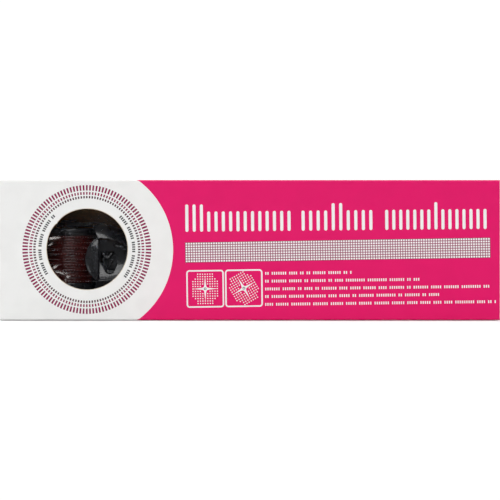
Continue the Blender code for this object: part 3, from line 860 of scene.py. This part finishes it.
def make_head():
    bm = bmesh.new()
    loops = []
    for a in [4.6 + (31.9 - 4.6) * i / 44 for i in range(45)]:
        half_c, front, back = HEAD(a)
        mid = (front + back) / 2
        wide = max(0.0, min(1.0, (half_c - 6.5) / 3.5))
        loop = []
        for b, c in squircle(half_c, front, back, 2.7 + 3.0 * wide, 112):
            # the front falls away towards its sides as a soft bevel
            if b < mid:
                b += 0.22 * wide * max(0.0, abs(c) * 12.1 / half_c - 5.0) * (mid - b) / (mid - front)
            loop.append(roller(a, b, c))
        loops.append(loop)
    loft(bm, loops)
    o = raw_object("head_work", bm)
    for s in (1, -1):
        bm = bmesh.new()
        prism(bm, arc(0, 0, 4.5, 90, 270, 28) + [(4.0, -4.9), (8.0, -5.6), (11.6, -3.4), (11.6, 0.4), (8.0, 2.6), (4.0, 4.1)], lambda u, v, h: roller(u, v, h), s * (ARM_IN - 0.4), s * ARM_OUT)
        o = boolean(o, bm, "UNION")
    r = ((CHORD_A - LIP_A) ** 2 + CHORD_C**2) / (2 * (CHORD_A - LIP_A))
    half = math.degrees(math.asin(CHORD_C / r))
    lip = arc(LIP_A + r, 0, r, 180 - half, 180 + half, 40)
    bm = bmesh.new()
    prism(bm, [(-9, ARM_IN), (-9, -ARM_IN), (7.9, -ARM_IN)] + lip[::-1] + [(7.9, ARM_IN)], lambda u, v, h: roller(u, h, v), -14, 9)
    o = boolean(o, bm, "DIFFERENCE")
    bm = bmesh.new()
    turned(bm, [(0, -ARM_IN + 0.06), (10.9, -ARM_IN + 0.06), (10.9, ARM_IN - 0.06), (0, ARM_IN - 0.06)], 144, on_drum, closed=False)
    o = boolean(o, bm, "DIFFERENCE")
    # thumb dish, stopping at the lip's straight side
    bm = bmesh.new()
    bmesh.ops.create_uvsphere(bm, u_segments=96, v_segments=48, radius=1.0)
    for v in bm.verts:
        x, y, z = v.co
        a = 10.5 + (4.9 if x < 0 else 11.8) * x
        front = HEAD(a)[1]
        v.co = roller(a, front + (2.4 if y > 0 else 4.9) * y, 7.15 * z)
    cut = bmesh.ops.bisect_plane(bm, geom=bm.verts[:] + bm.edges[:] + bm.faces[:], plane_co=roller(CHORD_A + 0.3, 0, 0), plane_no=(1, 0, 0), clear_inner=True)["geom_cut"]
    bmesh.ops.triangle_fill(bm, edges=[e for e in cut if isinstance(e, bmesh.types.BMEdge)], use_beauty=True)
    o = boolean(o, bm, "DIFFERENCE")
    bm = bmesh.new()
    lock = arc(13.6, -3.1, 1.7, 215, 320, 10) + arc(13.9, -1.3, 2.1, -20, 30, 8) + arc(14.6, 1.9, 0.7, 30, 90, 5) + arc(11.1, 1.9, 0.7, 90, 180, 6) + arc(11.4, -0.2, 1.0, 180, 215, 3)
    prism(bm, lock, lambda u, v, h: roller(u, h, v), -12.5, -2.5)
    o = boolean(o, bm, "DIFFERENCE")
    bm = bmesh.new()
    loft(bm, [[roller(a, b, c) for b, c in ((-3.8, -3.6), (0.8, -3.6), (0.8, 3.6), (-3.8, 3.6))] for a in (10.6, 34)])
    o = boolean(o, bm, "DIFFERENCE")
    bm = bmesh.new()
    t = math.radians(-14)
    slot = fillet([(-1.65, -0.6, 0.25), (1.65, -0.6, 0.25), (1.65, 0.6, 0.25), (-1.65, 0.6, 0.25)])
    prism(bm, [(16.6 + u * math.cos(t) - v * math.sin(t), 4.55 + u * math.sin(t) + v * math.cos(t)) for u, v in slot], lambda u, v, h: roller(u, h, v), -12.5, -7.0)
    o = boolean(o, bm, "DIFFERENCE")
    bm = bmesh.new()
    turned(bm, [(0, -16), (1.08, -16), (1.08, 16), (0, 16)], 32, on_drum, closed=False)
    o = boolean(o, bm, "DIFFERENCE")
    # a fine raised bead round the lip and down the dish's straight side
    def front_at(a, c):
        half_c, front, back = HEAD(a)
        return front + 0.22 * max(0.0, abs(c) * 12.1 / half_c - 5.0)

    for path, rad in ((lip, 0.26), ([(CHORD_A + 0.02, c) for c in (3.6, 2.0, 0.0, -2.0, -4.0, -6.3)], 0.2)):
        spine = [Vector(roller(a, front_at(a, c) + 0.08, c)) for a, c in path]
        rows = []
        for i, q in enumerate(spine):
            along = (spine[min(i + 1, len(spine) - 1)] - spine[max(i - 1, 0)]).normalized()
            side = along.cross(Vector((0, 1, 0))).normalized()
            up = side.cross(along)
            rows.append([q + side * rad * math.cos(TAU * k / 10) + up * rad * math.sin(TAU * k / 10) for k in range(10)])
        bm = bmesh.new()
        loft(bm, rows)
        o = boolean(o, bm, "UNION")
    o = melted(o, "head_moulding", 0.165, 3)
    settle(o, "drawer", [M_BLACK], ["fork_head"], 60)


make_head()


def make_tang():
    bm = bmesh.new()
    loft(bm, [[roller(a, b, c) for b, c in ((-3.5, -3.3), (0.5, -3.3), (0.5, 3.3), (-3.5, 3.3))] for a in (12.6, 70.0)])
    o = raw_object("tang_work", bm)
    # the spring clip in the lock window: a chevron head over two slanted prongs
    for pts, b0 in (
        ([(10.75, 2.2), (11.6, 2.2), (12.45, 0.95), (12.95, 1.0), (13.75, 2.2), (14.6, 2.2), (13.35, 0.25), (12.0, 0.2)], -7.6),
        ([(10.9, 0.4), (11.6, 0.5), (12.2, -2.6), (11.75, -2.7)], -6.6),
        ([(13.6, -0.6), (14.3, -0.5), (13.7, -2.5), (13.1, -2.6)], -7.0),
    ):
        bm = bmesh.new()
        prism(bm, pts, lambda u, v, h: roller(u, h, v), b0, -2.0)
        o = boolean(o, bm, "UNION")
    o = melted(o, "tang_moulding", 0.18, 2)
    settle(o, "drawer", [M_CLIP], ["neck_tang"], 60)


make_tang()


# ------------------------------------------------------------------ the drum
def lathe_piece(name, profile, n, body, mat, replaces, closed=True, smooth=40):
    bm = bmesh.new()
    turned(bm, profile, n, on_drum, closed)
    return settle(raw_object(name, bm), body, [mat], replaces, smooth)


PITCH, DISC_T, DISC_R, COUNT = 1.84, 0.92, 9.2, 9
for k in range(COUNT):
    z = (k - (COUNT - 1) / 2) * PITCH
    h = DISC_T / 2
    lathe_piece(f"drum_disc_{k + 1}", fillet([(4.7, z - h), (DISC_R, z - h, 0.16), (DISC_R, z + h, 0.16), (4.7, z + h)], n=3), 120, "drum", M_WINE, [f"needle_disc_{k + 1}"])
    bm = bmesh.new()
    for i in range(60):
        t = TAU * (i + 0.5 * (k % 2)) / 60
        c, s = math.cos(t), math.sin(t)

        def place(u, v, d, c=c, s=s, z=z):
            # d runs outward, u across, v up
            return on_drum(d * c - u * s, d * s + u * c, z + v)

        turned(bm, [(0, 8.9), (0.125, 8.9), (0.125, 9.62), (0.02, 10.2), (0, 10.21)], 8, place, closed=False)
    settle(raw_object(f"steel_needles_{k + 1}", bm), "drum", [M_STEEL], (), 40)
    if k:
        m, q = z - PITCH / 2, (PITCH - DISC_T) / 2 - 0.02
        lathe_piece(f"drum_spacer_{k}", fillet([(4.7, m - q), (8.75, m - q, 0.08), (8.75, m + q, 0.08), (4.7, m + q)], n=2), 96, "drum", M_WINE, [f"spacer_ring_{k}"])
for name, s in (("top", 1), ("bottom", -1)):
    i, e = COUNT and (COUNT - 1) / 2 * PITCH + DISC_T / 2 + 0.05, FLANGE_END
    prof = [(4.7, s * i), (9.2, s * i, 0.2), (9.2, s * (i + 0.9), 0.12), (9.06, s * (i + 1.0), 0.06), (9.2, s * (i + 1.1), 0.12), (9.2, s * e, 0.55), (7.9, s * e, 0.15), (7.7, s * (e - 0.35), 0.15), (3.2, s * (e - 0.35))]
    lathe_piece(f"flange_{name}", fillet(prof, n=4), 144, "drum", M_BLACK, [f"drum_flange_{name}"])
    prof = [(1.06, s * (e - 3.4)), (1.9, s * (e - 3.4)), (1.9, s * (e + 0.06)), (2.7, s * (e + 0.06), 0.05), (2.7, s * (ARM_IN - 0.12), 0.05), (1.06, s * (ARM_IN - 0.12))]
    lathe_piece(f"bush_{name}", fillet(prof, n=2), 48, "drum", M_WHITE_BUSH, [f"axle_bush_{name}"])
    prof = [(0, s * 12.4), (0.98, s * 12.4), (0.98, s * (ARM_OUT + 0.06)), (3.1, s * (ARM_OUT + 0.06), 0.05), (3.1, s * (ARM_OUT + 0.5), 0.2), (2.2, s * (ARM_OUT + 0.85), 0.6), (0, s * (ARM_OUT + 0.95))]
    lathe_piece(f"pin_cap_{name}", fillet(prof, closed=False, n=5), 64, "drawer", M_BLACK, [f"axle_cap_{name}"], closed=False)


# ------------------------------------------------------------------ the handle
HANDLE = curve_table([(-28.2, 6.3, 5.7), (-16.0, 6.6, 6.0), (2.0, 8.6, 7.3), (20.0, 9.8, 8.1), (44.0, 8.9, 7.5), (64.0, 7.3, 6.3), (77.6, 5.6, 5.0)])
HY = AY - 1.5


def section(x, shrink, n, a0=0.0, turn=TAU, ends=False, power=2.4):
    w, d = HANDLE(x)
    w, d = w - shrink, d - shrink
    out = []
    for i in range(n):
        t = a0 + turn * i / (n - 1 if ends else n)
        cx, cy = math.cos(t), math.sin(t)
        out.append((x, HY + d * math.copysign(abs(cy) ** (2 / power), cy), AZ + w * math.copysign(abs(cx) ** (2 / power), cx)))
    return out


GRIP0, GRIP1 = 2.0, 44.0


def make_handle():
    for name, a0, node in (("shell_front", math.pi, "handle_front_shell"), ("shell_back", 0.0, "handle_back_shell")):
        bm = bmesh.new()
        xs = [-24.3, -24.22, -24.0] + [-22 + i * 2.0 for i in range(12)] + [GRIP0 - 0.4, GRIP0 - 0.27, GRIP0 - 0.2, GRIP0 - 0.15]
        xs += [GRIP0 + 3 + i * 3.6 for i in range(11)] + [GRIP1 + 0.15, GRIP1 + 0.2, GRIP1 + 0.27, GRIP1 + 0.4] + [46 + i * 2.0 for i in range(13)] + [71.7, 71.92, 72.0]
        loops = []
        dy = -0.05 if a0 else 0.05
        for x in xs:
            inside = GRIP0 - 0.2 < x < GRIP1 + 0.2
            s = 1.1 if inside else 0.0
            if x in (-24.3, 72.0):
                s = 0.3
            elif x in (-24.22, 71.92, GRIP0 - 0.27, GRIP1 + 0.27):
                s = 0.12
            elif x in (GRIP0 - 0.2, GRIP1 + 0.2):
                s = 0.3
            wall = 1.7 if not inside else 2.3
            outer = section(x, s, 41, a0, math.pi, True)
            edge0, edge1 = section(x, s + 0.14, 41, a0, math.pi, True)[0], section(x, s + 0.14, 41, a0, math.pi, True)[-1]
            push = 0.1 if a0 == 0 else -0.1
            outer = [edge0] + [(p[0], p[1] + push, p[2]) if i in (0, 40) else p for i, p in enumerate(outer)] + [edge1]
            inner = section(x, wall, 41, a0, math.pi, True)
            loops.append([(px, py + dy, pz) for px, py, pz in outer + inner[::-1]])
        loft(bm, loops)
        settle(raw_object(name, bm), "drawer", [M_BLACK], [node], 40)
    # ribbed grip
    bm = bmesh.new()
    xs = [GRIP0 + 0.14 * i for i in range(301) if GRIP0 + 0.14 * i <= GRIP1 + 1e-6]
    outer = []
    for x in xs:
        e = min(x - GRIP0, GRIP1 - x)
        lip = 0.42 * max(0.0, 1 - e / 0.55) ** 2
        rib = 0.0
        if 3.2 < x - GRIP0 < GRIP1 - GRIP0 - 3.2:
            p = (x - GRIP0 - 3.2) / ((GRIP1 - GRIP0 - 6.4) / 16)
            rib = 0.42 * (0.5 - 0.5 * math.cos(TAU * p)) ** 0.7
        outer.append(section(x, -0.12 + lip + rib, 64))
    inner = [section(x, 1.0, 64) for x in xs[:-3:6] + [xs[-1]]][::-1]
    loft(bm, outer + inner, ring=True)
    settle(raw_object("grip_ribbed", bm), "drawer", [M_RUBBER], ["grip_sleeve"], 50)
    # trim ring
    bm = bmesh.new()
    st = fillet([(-28.1, 1.6), (-28.1, -0.15, 0.35), (-27.2, -0.55, 0.5), (-25.4, -0.55, 0.5), (-24.5, -0.15, 0.35), (-24.5, 1.6)], n=5)
    loft(bm, [section(x, s, 64) for x, s in st], ring=True)
    settle(raw_object("trim_ring", bm), "drawer", [M_WINE], ["neck_collar"], 40)
    # tail cap
    bm = bmesh.new()
    st = [(68.0, 2.05), (72.1, 2.05), (72.1, 0.3), (72.2, 0.12), (72.4, 0.0), (73.2, 0.0), (74.0, 0.08)]
    for i in range(1, 13):
        t = i / 12 * math.pi / 2
        st.append((74.0 + 3.6 * math.sin(t), 0.08 + 4.9 * (1 - math.cos(t))))
    loft(bm, [section(x, s, 64) for x, s in st])
    settle(raw_object("tail_dome", bm), "drawer", [M_BLACK], ["tail_cap"], 40)


make_handle()


# ------------------------------------------------------------------ drawer and saddles
def make_drawer():
    """A tray of folded board: rounded creases outside and rolled rims."""
    lo, hi = mm_box("drawer_tray")
    t = 1.0
    bm = bmesh.new()
    bmesh.ops.create_cube(bm, size=1.0)
    for v in bm.verts:
        v.co = ((lo[0] if v.co.x < 0 else hi[0]), (lo[1] if v.co.y < 0 else hi[1]), (lo[2] if v.co.z < 0 else hi[2]))
    front = [f for f in bm.faces if f.calc_center_median().y < lo[1] + 0.1]
    bmesh.ops.inset_region(bm, faces=front, thickness=t, use_even_offset=True)
    pushed = bmesh.ops.extrude_face_region(bm, geom=front)
    moved = [e for e in pushed["geom"] if isinstance(e, bmesh.types.BMVert)]
    bmesh.ops.delete(bm, geom=front, context="FACES")
    bmesh.ops.translate(bm, verts=moved, vec=(0, hi[1] - t - lo[1], 0))
    bmesh.ops.bevel(bm, geom=bm.edges[:], offset=0.34, segments=3, profile=0.5, affect="EDGES")
    o = raw_object("tray_board", bm)
    inside = lambda c: lo[0] + 0.5 < c.x < hi[0] - 0.5 and lo[2] + 0.5 < c.z < hi[2] - 0.5 and lo[1] + 0.2 < c.y < hi[1] - 0.5
    for p in o.data.polygons:
        p.material_index = 0 if inside(p.center) else 1
    settle(o, "drawer", [M_KRAFT, M_WHITE_TRAY], ["drawer_tray"], 40)


M_WHITE_TRAY = board("tray_outer_white", (0.70, 0.70, 0.68), 0.5, worn=False, varnish=0.1)
make_drawer()
for node in ("neck_saddle", "tail_saddle"):
    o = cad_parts[node]
    o.data.materials.clear()
    o.data.materials.append(M_KRAFT)
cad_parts["axle_pin"].data.materials.clear()
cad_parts["axle_pin"].data.materials.append(M_STEEL)
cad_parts["drum_core"].data.materials.clear()
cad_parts["drum_core"].data.materials.append(M_BLACK)


# ------------------------------------------------------------------ floor, light, camera
def make_stage():
    bm = bmesh.new()
    bmesh.ops.create_circle(bm, cap_ends=True, segments=96, radius=0.9)
    me = bpy.data.meshes.new("floor")
    bm.to_mesh(me)
    bm.free()
    floor = link(bpy.data.objects.new("floor", me))
    floor.location.z = -0.0002
    m = Mat("pale_floor", 0.9, Specular_IOR_Level=0.0)
    m.colour(m.mix(m.noise(0.02, 2), (0.93, 0.93, 0.93), (0.95, 0.95, 0.95)))
    me.materials.append(m.m)
    floor.visible_glossy = False

    w = bpy.data.worlds.new("studio")
    bpy.context.scene.world = w
    w.use_nodes = True
    n, l = w.node_tree.nodes, w.node_tree.links
    bg = n["Background"]
    bg.inputs["Color"].default_value = (1, 1, 1, 1)
    bg.inputs["Strength"].default_value = 0.07
    seen = n.new("ShaderNodeBackground")
    seen.inputs["Color"].default_value = (1, 1, 1, 1)
    seen.inputs["Strength"].default_value = 1.05
    path = n.new("ShaderNodeLightPath")
    mix = n.new("ShaderNodeMixShader")
    l.new(path.outputs["Is Camera Ray"], mix.inputs[0])
    l.new(bg.outputs[0], mix.inputs[1])
    l.new(seen.outputs[0], mix.inputs[2])
    l.new(mix.outputs[0], n["World Output"].inputs[0])

    def area(name, at, to, sx, sy, power, tone=(1.0, 1.0, 1.0)):
        d = bpy.data.lights.new(name, "AREA")
        d.shape, d.size, d.size_y, d.energy, d.color = "RECTANGLE", sx, sy, power, tone
        o = link(bpy.data.objects.new(name, d))
        o.location = at
        o.visible_camera = False
        o.rotation_euler = (Vector(to) - Vector(at)).to_track_quat("-Z", "Y").to_euler()

    area("key", (-0.17, -1.05, 0.66), (0, 0, 0.02), 1.25, 0.85, 6.9)
    area("near", (-0.085, -1.42, 0.17), (-0.05, 0, 0.03), 0.05, 0.2, 0.15, (0.75, 0.86, 1.0))
    area("top", (0.0, -0.1, 1.3), (0, -0.1, 0), 1.6, 1.2, 16)
    area("left", (-1.3, -0.35, 0.45), (0, 0, 0.02), 0.7, 0.9, 1.9)
    area("right", (1.3, -0.35, 0.45), (0, 0, 0.02), 0.7, 0.9, 1.9)
    area("rear", (0.0, 1.3, 0.7), (0, 0, 0.02), 1.6, 0.7, 7)

    cam = bpy.data.cameras.new("camera")
    cam.sensor_width, cam.lens = 36.0, 300.0
    o = link(bpy.data.objects.new("camera", cam))
    distance = BOX_L * MM * cam.lens / cam.sensor_width
    o.location = (0.0, -BOX_D / 2 * MM - distance, BOX_H / 2 * MM)
    o.rotation_euler = (math.pi / 2, 0, 0)
    cam.clip_start, cam.clip_end = 0.05, 20
    bpy.context.scene.camera = o
    bpy.context.scene.view_settings.view_transform = "Standard"
    bpy.context.scene.view_settings.look = "None"


make_stage()
